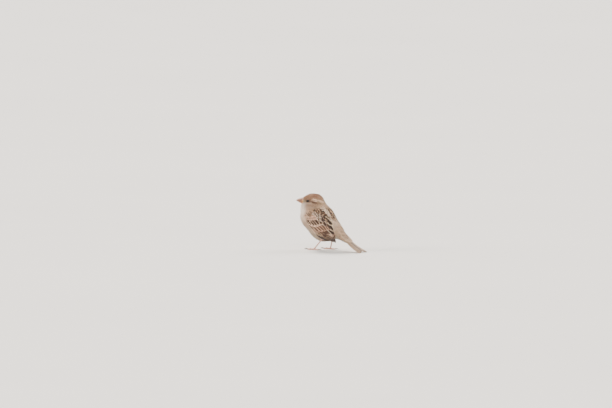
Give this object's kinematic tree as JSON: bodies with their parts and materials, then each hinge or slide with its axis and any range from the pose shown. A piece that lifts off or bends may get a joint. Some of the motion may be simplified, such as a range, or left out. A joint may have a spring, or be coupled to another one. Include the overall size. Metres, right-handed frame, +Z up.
{
  "type": "house sparrow figure",
  "caption": "Life-size figure of a small brown songbird standing with folded wings, its head turned aside and its tail resting on the floor.",
  "frame": {"origin": "middle of the bounding box's bottom face, on the floor the bird stands on", "axes": "+Z up, the trunk faces -Y with the tail towards +Y, the bird's left side is +X, and its head is turned 35 degrees towards its left"},
  "size_m": [0.0438, 0.1088, 0.0816],
  "materials": {
    "bill_lower": "horn bill, yellowish at the gape",
    "bill_upper": "horn bill, greyish pink",
    "claw_left_hind": "dark horn claw",
    "claw_left_inner": "dark horn claw",
    "claw_left_middle": "dark horn claw",
    "claw_left_outer": "dark horn claw",
    "claw_right_hind": "dark horn claw",
    "claw_right_inner": "dark horn claw",
    "claw_right_middle": "dark horn claw",
    "claw_right_outer": "dark horn claw",
    "eye_left": "moist dark brown eye",
    "eye_right": "moist dark brown eye",
    "head": "head plumage, warm brown above, buff-grey below",
    "leg_left": "pinkish brown scaled skin",
    "leg_right": "pinkish brown scaled skin",
    "neck": "neck plumage, buff brown",
    "tail": "brown tail feathers edged buff",
    "trunk": "body plumage, streaked buff-brown above, pale greyish cream below",
    "wing_left": "folded wing, dark brown feathers edged buff",
    "wing_right": "folded wing, dark brown feathers edged buff"
  },
  "bodies": {
    "root": {"bill_lower": "bill_lower", "bill_upper": "bill_upper", "claw_left_hind": "claw_left_hind", "claw_left_inner": "claw_left_inner", "claw_left_middle": "claw_left_middle", "claw_left_outer": "claw_left_outer", "claw_right_hind": "claw_right_hind", "claw_right_inner": "claw_right_inner", "claw_right_middle": "claw_right_middle", "claw_right_outer": "claw_right_outer", "eye_left": "eye_left", "eye_right": "eye_right", "head": "head", "leg_left": "leg_left", "leg_right": "leg_right", "neck": "neck", "tail": "tail", "trunk": "trunk", "wing_left": "wing_left", "wing_right": "wing_right"}
  },
  "joints": []
}
